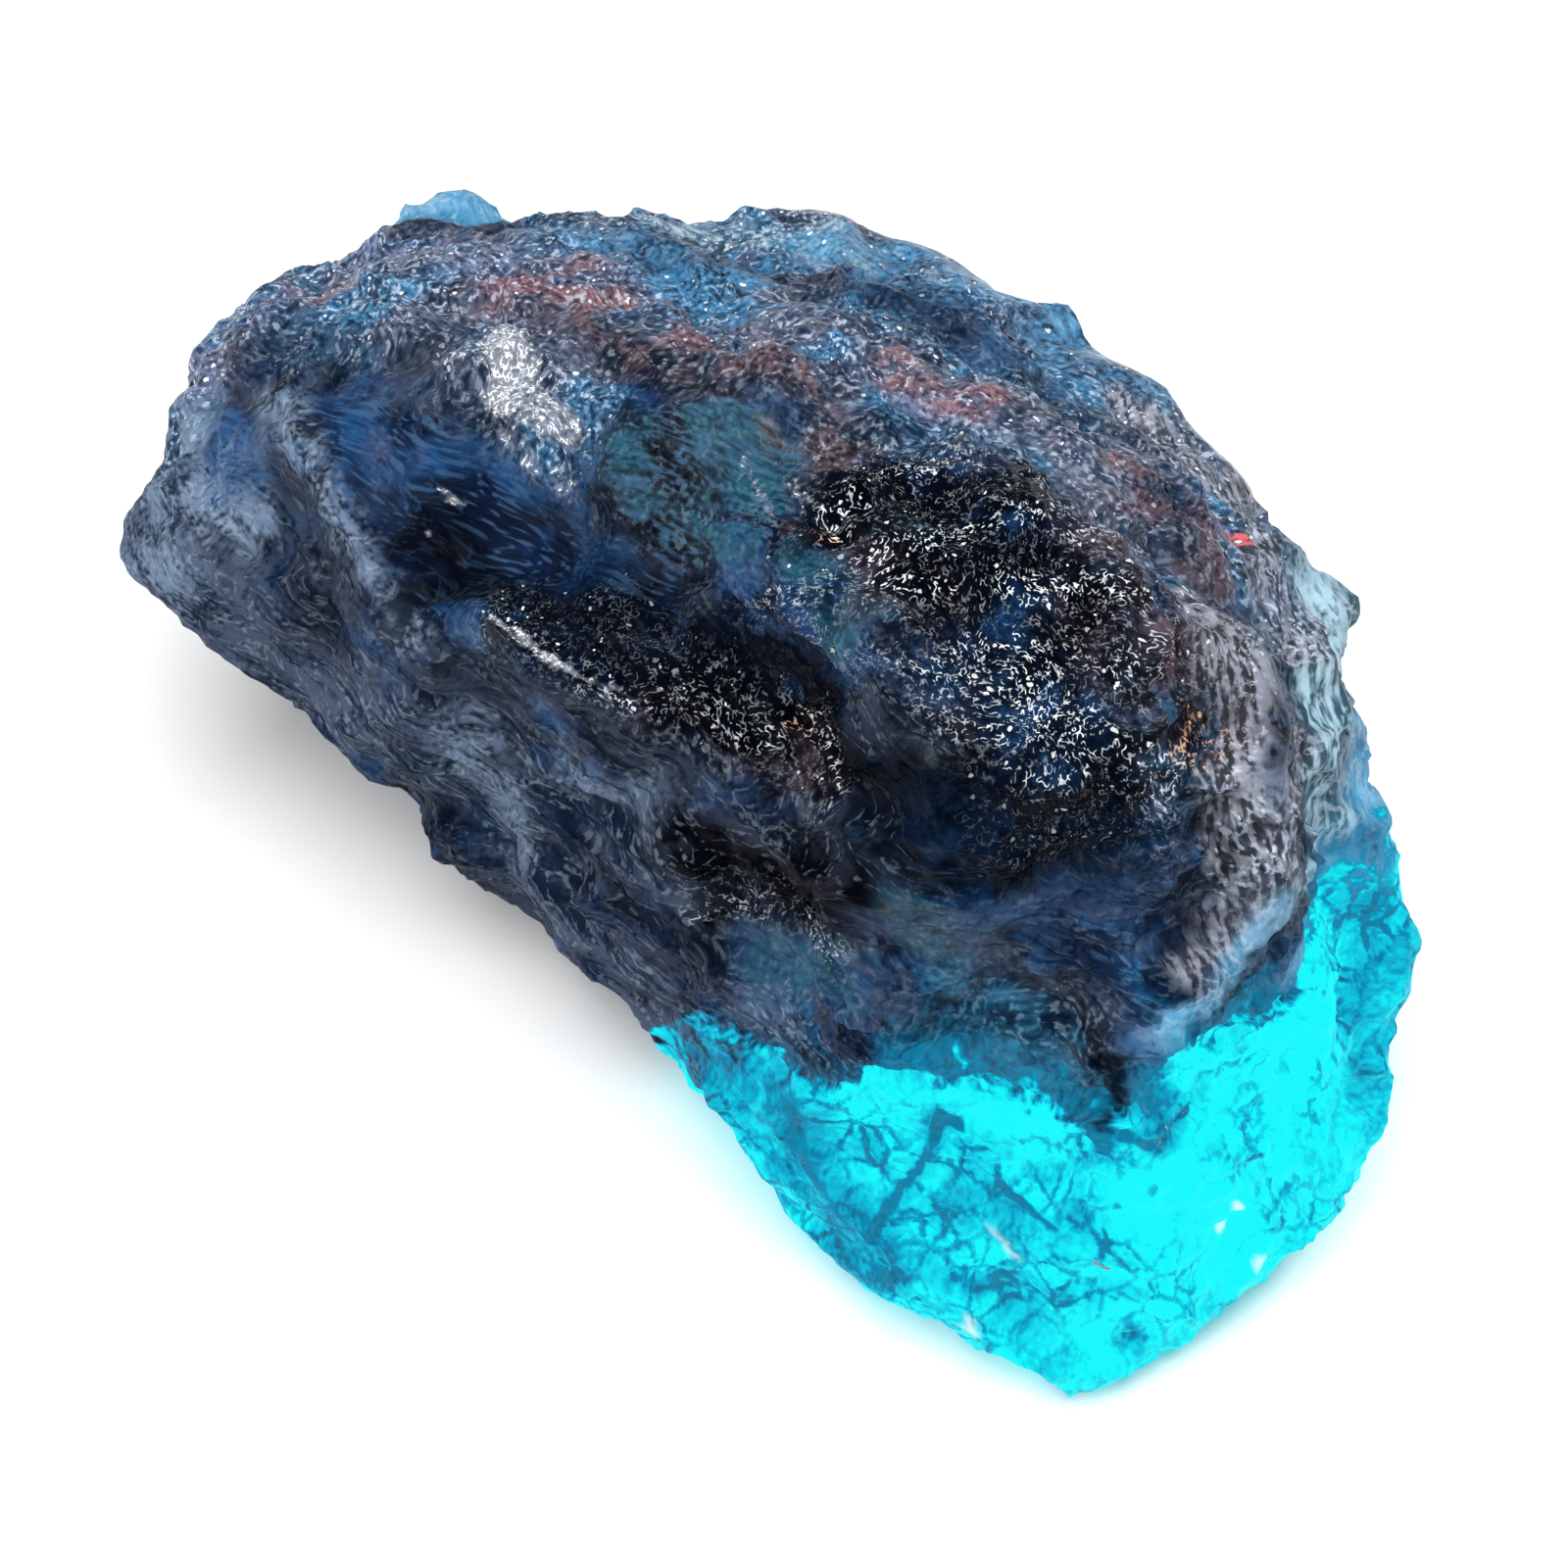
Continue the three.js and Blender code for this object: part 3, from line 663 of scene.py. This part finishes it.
def stretch_range(tree, value, low_in, high_in, low_out=0.0, high_out=1.0):
    """Carries a value softly from low_out, where it is low_in, to high_out, where it is high_in."""
    made = node(tree, "MapRange", {"interpolation_type": "SMOOTHSTEP"},
                i0=value, i1=low_in, i2=high_in, i3=low_out, i4=high_out)
    return made.outputs[0]


# %% Sapphire material
sapphire, tree = new_material("rough sapphire")
shader = tree.nodes["Principled BSDF"]
rumpled = node(tree, "Attribute", {"attribute_name": "grain place"}).outputs["Vector"]
masks = {
    name: node(tree, "Attribute", {"attribute_name": name}).outputs["Fac"]
    for name in (
        "glow", "afterglow", "dim", "blaze", "crease", "haze", "smoke", "frost", "pale", "azure",
        "teal", "rust", "shade", "glitter", "calm", "glare", "gold", "red", "pitted", "clouded",
        "blotch", "bands", "grain height",
    )
}


def times(first, second):
    return math_node(tree, "MULTIPLY", first, second)


def plus(first, second):
    return math_node(tree, "ADD", first, second)


def minus(first, second):
    return math_node(tree, "SUBTRACT", first, second)


def most(first, second):
    return math_node(tree, "MAXIMUM", first, second)


def between(value, low_in, high_in, low_out=0.0, high_out=1.0):
    return stretch_range(tree, value, low_in, high_in, low_out, high_out)


# %% [markdown]
# The fine patterns are noises, and each reads the stirred places in its own way: turned with the
# layers or across them, squeezed along some axes so that its patches become streaks, and moved
# aside so that no two are alike. A turn takes time to work out at every sample of a render, so all
# the patterns with the same turn share one Mapping node.

# %% Grain patterns
LEVEL = (0, 0, 0)
LAYER_TURN = (0.06, 0.2, 0)
RIDGE_TURN = (0, 0.42, -0.6)
BRUSH_TURN = (0, 0, 0.25)
GRAIN_SIZE = 0.34  # in mm

turned_places = {LEVEL: rumpled}
for angles in (LAYER_TURN, RIDGE_TURN, BRUSH_TURN):
    turning = node(tree, "Mapping", {"vector_type": "TEXTURE"}, Vector=rumpled, Rotation=angles)
    turned_places[angles] = turning.outputs[0]


def speckle(size, detail=2.0, turned=LEVEL, seed=0.0):
    """Noise from 0 to 1 with patches of about `size` mm: one number, or three for its own axes."""
    lengths = size if isinstance(size, tuple) else (size,) * 3
    fineness = Vector([1 / length for length in lengths])
    aside = Euler(turned).to_matrix().transposed() @ Vector((seed, 2 * seed, -seed))
    laid = node(tree, "VectorMath", {"operation": "MULTIPLY_ADD"},
                i0=turned_places[turned], i1=fineness, i2=-aside * fineness)
    return node(tree, "TexNoise", Vector=laid.outputs[0], Scale=1.0, Detail=detail).outputs["Fac"]


def lines(field, width):
    """Thin curves, along which a noise field passes through its middle."""
    off = math_node(tree, "ABSOLUTE", minus(field, 0.5))
    return between(off, width, 2.0 * width, 1.0, 0.0)


mottle = speckle(1.3, 1.0)
smoky = speckle(2.4, 3.0, seed=7.0)
powder = speckle(0.3, 2.0, seed=11.0)
streaks = speckle((3.6, 3.0, 0.6), 2.0, turned=LAYER_TURN)
fibres = speckle((2.4, 1.8, 0.25), 2.0, turned=LAYER_TURN, seed=4.0)
ridges = speckle((1.3, 0.3, 0.3), 2.0, turned=RIDGE_TURN, seed=2.0)
grains = node(tree, "TexVoronoi", {"feature": "F1"}, Vector=rumpled, Scale=1 / GRAIN_SIZE)
pebble = grains.outputs["Distance"]
tone = node(tree, "SeparateColor", Color=grains.outputs["Color"]).outputs["Red"]
shaded_gaps = between(pebble, 0.42, 0.7)
brushed = speckle((2.0, 0.24, 0.24), 1.0, turned=BRUSH_TURN, seed=6.0)
winding = speckle(0.2, 0.0, seed=3.0)
curls = lines(winding, 0.037)
hooks = times(curls, between(powder, 0.48, 0.55))
grit = plus(times(powder, 0.8), times(winding, 0.2))
fleck_glints = times(between(grit, 0.54, 0.6), between(tone, 0.2, 0.9, 0.2, 0.85))
shaded_dents = between(grit, 0.45, 0.38)
off_mottle = minus(mottle, 0.5)
off_smoky = minus(smoky, 0.5)
off_powder = minus(powder, 0.5)
strands = speckle((2.4, 2.0, 0.4), 1.0, turned=LAYER_TURN, seed=5.0)
threads = times(lines(strands, 0.02), between(powder, 0.4, 0.6))

# %% [markdown]
# The colours are mixed from the deepest to the topmost: clear blue stone, frost, teal and rust,
# then dust and smoke, then pits, painted shade in hollows, gaps and dents, and last the painted
# glints. Each layer is one Mix node, and its factor is a mask times a pattern, so that the layer
# comes and goes in patches.

# %% Crystal colours
INK = (0.001, 0.0015, 0.0035, 1)
NAVY = (0.002, 0.009, 0.034, 1)
BLUE = (0.008, 0.05, 0.15, 1)
SEA = (0.015, 0.029, 0.043, 1)
SEA_LIGHT = (0.011, 0.068, 0.105, 1)
RUSTY = (0.24, 0.108, 0.12, 1)
BROWN = (0.09, 0.055, 0.05, 1)
RUST_DARK = (0.06, 0.06, 0.1, 1)
FROST_DARK = (0.024, 0.048, 0.105, 1)
UMBER = (0.014, 0.009, 0.009, 1)
FROST_GREY = (0.13, 0.155, 0.225, 1)
FROST_BLUE = (0.045, 0.2, 0.385, 1)
# Painted highlight: the pale colour of small glints on the grain.
FLECK_GLINT = (0.52, 0.6, 0.72, 1)
DUST = (0.056, 0.074, 0.118, 1)
DUST_BLUE = (0.006, 0.014, 0.034, 1)
SMOKE_GREY = (0.14, 0.195, 0.285, 1)
VEIL_BLUE = (0.035, 0.09, 0.18, 1)
RIM_BLUE = (0.07, 0.29, 0.5, 1)
RIM_GREY = (0.035, 0.09, 0.13, 1)
# Partly painted light: white streaks on thin clear edges.
RIM_SHEEN = (0.36, 0.54, 0.64, 1)
PIT = (0.036, 0.036, 0.046, 1)
ASH = (0.28, 0.295, 0.355, 1)
# Painted highlight: the soft grey round a white patch of glare.
GLARE_GREY = (0.24, 0.26, 0.31, 1)
THREAD = (0.38, 0.47, 0.54, 1)
RED = (0.75, 0.12, 0.12, 1)
# Painted highlights: the colours of the glints, white and gold.
SPARK = (0.9, 0.92, 0.92, 1)
GOLD = (0.95, 0.45, 0.18, 1)

smooth_parts = most(masks["calm"], most(masks["teal"], masks["pale"]))
body = mix(tree, between(smoky, 0.44, 0.62), INK, NAVY)
cloud_share = times(between(masks["clouded"], 0.55, 0.9), between(smoky, 0.48, 0.62, 0.05, 0.9))
body = mix(tree, cloud_share, body, BLUE)
azure_share = plus(times(masks["blotch"], 0.4), times(smoky, 0.6))
azure = mix(tree, between(azure_share, 0.35, 0.6), NAVY, BLUE)
body = mix(tree, times(masks["azure"], between(mottle, 0.3, 0.6, 0.6)), body, azure)

frost_share = between(plus(masks["clouded"], off_smoky), 0.28, 0.62)
frost_light = mix(tree, frost_share, FROST_GREY, FROST_BLUE)
frost_light = mix(tree, times(masks["azure"], 0.9), frost_light, FROST_BLUE)
frost_tone = plus(plus(times(smoky, 0.5), times(powder, 0.5)), times(masks["azure"], 0.05))
frost = mix(tree, between(frost_tone, 0.37, 0.61), FROST_DARK, frost_light)
body = mix(tree, times(masks["frost"], between(mottle, 0.28, 0.46, 0.5)), body, frost)

laid_sea = plus(times(ridges, 0.15), plus(times(smoky, 0.5), times(powder, 0.35)))
laid_sea = plus(laid_sea, times(masks["azure"], 0.14))
sea = mix(tree, between(laid_sea, 0.44, 0.6), SEA, SEA_LIGHT)
laid_bare = plus(masks["teal"], plus(times(off_smoky, 2.8), times(off_powder, 1.0)))
body = mix(tree, between(laid_bare, 0.4, 1.15), body, sea)
rust_light = mix(tree, masks["frost"], BROWN, RUSTY)
rust_dark = mix(tree, masks["frost"], UMBER, RUST_DARK)
rust = mix(tree, between(frost_tone, 0.4, 0.56), rust_dark, rust_light)
body = mix(tree, times(masks["rust"], between(smoky, 0.42, 0.56, 0.1, 0.9)), body, rust)
laid_dust = plus(times(streaks, 0.3), plus(times(fibres, 0.25), times(masks["blotch"], 0.2)))
laid_dust = plus(laid_dust, times(grit, 0.25))
dust = mix(tree, between(laid_dust, 0.4, 0.57), DUST_BLUE, DUST)
body = mix(tree, times(masks["haze"], between(fibres, 0.35, 0.55, 0.6)), body, dust)
laid_smoke = plus(times(smoky, 0.45), plus(times(fibres, 0.25), times(grit, 0.3)))
smoke_share = times(masks["smoke"], between(laid_smoke, 0.42, 0.58, 0.05, 0.95))
body = mix(tree, smoke_share, body, SMOKE_GREY)
brush_share = most(masks["calm"], times(masks["azure"], between(masks["frost"], 0, 0.5, 1.0, 0.0)))
body = mix(tree, times(brush_share, between(brushed, 0.52, 0.66, 0.0, 0.6)), body, VEIL_BLUE)
body = mix(tree, times(masks["calm"], between(brushed, 0.46, 0.34, 0.0, 0.5)), body, INK)
# Partly painted light: white streaks on thin edges, for light through them and sheen on rims.
rim_deep = mix(tree, masks["azure"], RIM_GREY, RIM_BLUE)
rim_sheen = between(plus(times(ridges, 0.5), times(smoky, 0.5)), 0.44, 0.58)
rim_sheen = times(rim_sheen, between(masks["azure"], 0, 1, 1, 0.4))
rim = mix(tree, rim_sheen, rim_deep, RIM_SHEEN)
body = mix(tree, times(masks["pale"], between(mottle, 0.25, 0.5, 0.5)), body, rim)
# Painted shade: near black where the shade mask lies.
body = mix(tree, times(masks["shade"], between(mottle, 0.3, 0.5, 0.75)), body, INK)

grainy = most(most(masks["frost"], masks["rust"]), times(masks["glitter"], 0.8))
grainy = times(grainy, between(masks["calm"], 0.0, 1.0, 1.0, 0.1))
# Painted shade: the gaps between grains, where shade falls, are darkened.
body = mix(tree, times(times(grainy, shaded_gaps), 0.4), body, INK)
dark_ground = times(between(masks["glitter"], 0.3, 1.0), between(mottle, 0.42, 0.62, 0.85, 0.3))
body = mix(tree, dark_ground, body, INK)
laid_ash = plus(times(ridges, 0.75), plus(times(grit, 0.25), times(masks["calm"], 0.08)))
pitted = mix(tree, between(laid_ash, 0.43, 0.59), PIT, ASH)
body = mix(tree, times(masks["pitted"], between(smoky, 0.38, 0.52, 0.5, 1.0)), body, pitted)
threaded = most(times(most(masks["haze"], masks["smoke"]), 0.35), masks["pale"])
body = mix(tree, times(times(threads, threaded), 0.6), body, THREAD)
soft_parts = most(most(smooth_parts, masks["pitted"]), most(masks["haze"], masks["smoke"]))
# Painted shade: low spots of the fine grain, where the bump dips, are darkened.
body = mix(tree, times(shaded_dents, between(soft_parts, 0, 1, 0.45, 0.12)), body, INK)

# Painted highlights: sparks, twinkles and dim glints are glints of light painted into the colour.
spark_colour = mix(tree, masks["gold"], SPARK, GOLD)
sparkling = times(masks["glitter"], between(masks["calm"], 0.1, 0.6, 1.0, 0.0))
sparkling = times(sparkling, between(masks["shade"], 0.2, 0.9, 1.0, 0.15))
in_bands = times(between(masks["bands"], 0.3, 0.55, 0.15), between(tone, 0.1, 0.9, 0.15))
spark_share = times(times(sparkling, hooks), in_bands)
twinkle = between(plus(pebble, times(off_powder, 2.0)), 0.06, 0.14, 1.0, 0.0)
twinkle = times(between(tone, 0.78, 0.86), twinkle)
twinkle = times(twinkle, times(most(masks["frost"], masks["glitter"]), 0.8))
spark_share = most(spark_share, twinkle)
# Painted highlights: pale flecks on frost, rust, teal and pitted stone stand for glints on the
# grain.
glint_flecked = most(masks["pitted"], times(most(masks["frost"], times(masks["rust"], 0.5)), 0.75))
glint_flecked = most(glint_flecked, times(masks["teal"], 0.25))
glint_flecked = times(glint_flecked, between(most(masks["azure"], masks["calm"]), 0.3, 1.0, 1.0, 0.3))
glint_flecked = times(glint_flecked, between(most(masks["glitter"], masks["shade"]), 0.2, 0.9, 1.0, 0.0))
dim_glints = times(times(masks["glitter"], hooks), between(masks["bands"], 0.25, 0.6, 0.08, 0.4))
dim_glints = times(dim_glints, between(masks["shade"], 0.2, 0.9, 1.0, 0.3))
body = mix(tree, most(times(glint_flecked, fleck_glints), dim_glints), body, FLECK_GLINT)
# Painted highlight: a grey haze, then a white net, where the glints run together.
body = mix(tree, between(plus(masks["glare"], off_powder), 0.4, 1.0, 0, 0.85), body, GLARE_GREY)
glare_net = plus(plus(times(masks["glare"], 0.5), times(lines(winding, 0.05), 0.35)), off_powder)
glare_net = between(glare_net, 0.68, 0.88)
body = mix(tree, most(spark_share, glare_net), body, spark_colour)
reddened = between(plus(masks["red"], off_powder), 0.35, 0.65)
body = mix(tree, reddened, body, RED)

# %% [markdown]
# The lit end is bright cyan with thin blue creases where cracks keep the light out. A crease is
# drawn where a noise passes through its middle, which gives long winding curves. The net of veins
# follows the borders of Voronoi cells. One number says how much light comes through, and a colour
# ramp turns it into light: deep blue where little comes through, then teal, then cyan. A little of
# it still shows through the stone above the edge.

# %% Lit end
# Painted light: this emission stands in for a lamp under the stone, shining through its end.
THROUGH = [  # share of the light that comes through, and its colour
    (0.0, (0, 0, 0, 1)), (0.15, (0.001, 0.012, 0.03, 1)), (0.35, (0.003, 0.09, 0.17, 1)),
    (0.55, (0.005, 0.27, 0.46, 1)), (0.75, (0.006, 0.56, 0.74, 1)), (1.0, (0.01, 0.96, 0.99, 1)),
]
HOT = (0.7, 1.0, 1.0, 1)
CELL_SIZE = 1.3  # in mm
EMBER = (0.5, 0.05, 0.08, 1)

cells = node(tree, "TexVoronoi", {"feature": "F1"}, Vector=rumpled, Scale=1 / CELL_SIZE)
cell_tone = node(tree, "SeparateColor", Color=cells.outputs["Color"]).outputs["Red"]
borders = node(tree, "TexVoronoi", {"feature": "DISTANCE_TO_EDGE"}, Vector=rumpled,
               Scale=1 / CELL_SIZE)
vein = between(plus(borders.outputs["Distance"], times(off_powder, 0.3)), 0.02, 0.14, 1.0, 0.0)
vein = times(vein, between(masks["blotch"], 0.3, 0.75, 0.25))
creases = times(threads, between(masks["blotch"], 0.6, 0.9))
crack = between(plus(masks["crease"], times(off_powder, 0.9)), 0.45, 1.0)
edge_frays = plus(plus(times(off_smoky, 0.9), times(off_mottle, 0.3)), times(off_powder, 0.5))
inside = between(plus(masks["glow"], edge_frays), 0.3, 0.76)
fuzz = plus(masks["afterglow"], plus(times(off_smoky, 0.9), times(off_powder, 0.6)))
fuzz = between(fuzz, 0.1, 1.0, 0.0, 0.48)
fuzz = times(fuzz, between(masks["shade"], 0.2, 0.9, 1.0, 0.1))
bright = plus(1.06, plus(times(off_smoky, 1.0), times(off_powder, 0.5)))
bright = plus(bright, times(masks["blaze"], 0.14))
darkened = ((masks["dim"], 0.5), (vein, 0.32), (cell_tone, 0.14), (creases, 0.2), (crack, 0.5))
for share, darker in darkened:
    bright = minus(bright, times(share, darker))
level = most(fuzz, times(inside, most(bright, 0.2)))
ramp = node(tree, "ValToRGB", Fac=level)
stops = ramp.color_ramp.elements
while len(stops) < len(THROUGH):
    stops.new(0.5)
for stop, (position, colour) in zip(stops, THROUGH):
    stop.position = position
    stop.color = colour
# Painted highlights: white spots in the lit end, from the same mask as the white patches.
light = mix(tree, times(between(masks["glare"], 0.1, 1.0), inside), ramp.outputs["Color"], HOT)
light = mix(tree, times(reddened, inside), light, EMBER)
lit = between(level, 0.3, 0.55)

# %% [markdown]
# The colour and the light go into one shader. Dust, shade and the light itself hide the gloss, so
# only clean frost and smooth faces shine. The fine bump is only for grain that is smaller than the
# triangles. Its height was stored with the masks, because a bump works its height out three times.

# %% Sapphire sockets
DEEP_TEAL = (0.0, 0.02, 0.04, 1)  # the stone's own colour inside the lit end
GLOW_STRENGTH = 0.95
SAPPHIRE_IOR = 1.77
DUST_HEIGHT = 0.06  # in mm

unlit = mix(tree, lit, body, DEEP_TEAL)
tree.links.new(unlit, shader.inputs["Base Color"])
tree.links.new(light, shader.inputs["Emission Color"])
shader.inputs["Emission Strength"].default_value = GLOW_STRENGTH
shader.inputs["IOR"].default_value = SAPPHIRE_IOR
veiled = most(most(masks["haze"], masks["smoke"]), most(masks["shade"], masks["glitter"]))
veiled = most(veiled, lit)
glossy = times(most(times(masks["frost"], 0.6), smooth_parts), between(veiled, 0, 0.9, 1.0, 0.0))
tree.links.new(between(glossy, 0, 1, 0.015, 0.16), shader.inputs["Specular IOR Level"])
sapphire.cycles.emission_sampling = "NONE"

height = times(powder, masks["grain height"])
height = plus(height, times(times(winding, masks["haze"]), DUST_HEIGHT))
bump = node(tree, "Bump", Height=height, Strength=1.0, Distance=MM)
tree.links.new(bump.outputs[0], shader.inputs["Normal"])
dull = most(masks["haze"], most(times(masks["frost"], 0.4), times(smooth_parts, 0.7)))
tree.links.new(between(dull, 0, 1, 0.18, 0.6), shader.inputs["Roughness"])

stone.data.materials.clear()
stone.data.materials.append(sapphire)
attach(stone, "root")
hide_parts("sapphire")

# %% [markdown]
# ## Table and light
# The table is a plain white sheet, larger than any view of it. A wide lamp high over the far side
# of the stone whitens the table and leaves one soft shadow in front of the tail. One small lamp is
# only seen as a glint on glossy faces. The sky is dim above, so that glossy faces turned up stay
# dark.

# %% Table
TABLE_RADIUS = 2.5
TABLE_WHITE = (0.9, 0.9, 0.9, 1)

bpy.ops.mesh.primitive_circle_add(vertices=96, radius=TABLE_RADIUS, fill_type="NGON",
                                  location=(0, 0, 0))
table = bpy.context.active_object
table.name = "table"
white, white_tree = new_material("white table")
paint_of = white_tree.nodes["Principled BSDF"]
paint_of.inputs["Base Color"].default_value = TABLE_WHITE
paint_of.inputs["Roughness"].default_value = 0.9
table.data.materials.append(white)


# %% Lamps
def lamp(name, azimuth, height_angle, distance, size, power, colour=(1, 1, 1), in_gloss=True,
         in_diffuse=True):
    """An area lamp that looks at the stone. Angles are in degrees, distance and size in mm."""
    a, e = math.radians(azimuth), math.radians(height_angle)
    away = Vector((math.sin(a) * math.cos(e), -math.cos(a) * math.cos(e), math.sin(e)))
    bpy.ops.object.light_add(type="AREA", location=CAMERA_AIM + away * distance * MM)
    made = bpy.context.active_object
    made.name = name
    made.rotation_euler = (-away).to_track_quat("-Z", "Y").to_euler()
    made.data.shape = "DISK"
    made.data.size = size * MM
    made.data.energy = power
    made.data.color = colour
    made.visible_glossy = in_gloss
    made.visible_diffuse = in_diffuse
    return made


lamp("overhead", 0, 88, 500, 480, 3.0, in_gloss=False)
lamp("fill", -25, 26, 600, 600, 3.1, in_gloss=False)
lamp("key", 165, 50, 420, 120, 0.8, in_gloss=False)
lamp("glint", -150, 50, 320, 80, 0.25, in_diffuse=False)

SKY_BLUE = (0.86, 0.93, 1.0, 1)
SKY_AT_HORIZON = 0.2
SKY_OVERHEAD = 0.02

world = bpy.data.worlds.new("room")
bpy.context.scene.world = world
world.use_nodes = True
sky = world.node_tree
direction = node(sky, "TexCoord").outputs["Generated"]
up = node(sky, "SeparateXYZ", Vector=direction).outputs["Z"]
brightness = stretch_range(sky, up, 0.0, 0.7, SKY_AT_HORIZON, SKY_OVERHEAD)
backdrop = sky.nodes["Background"]
backdrop.inputs["Color"].default_value = SKY_BLUE
sky.links.new(brightness, backdrop.inputs["Strength"])
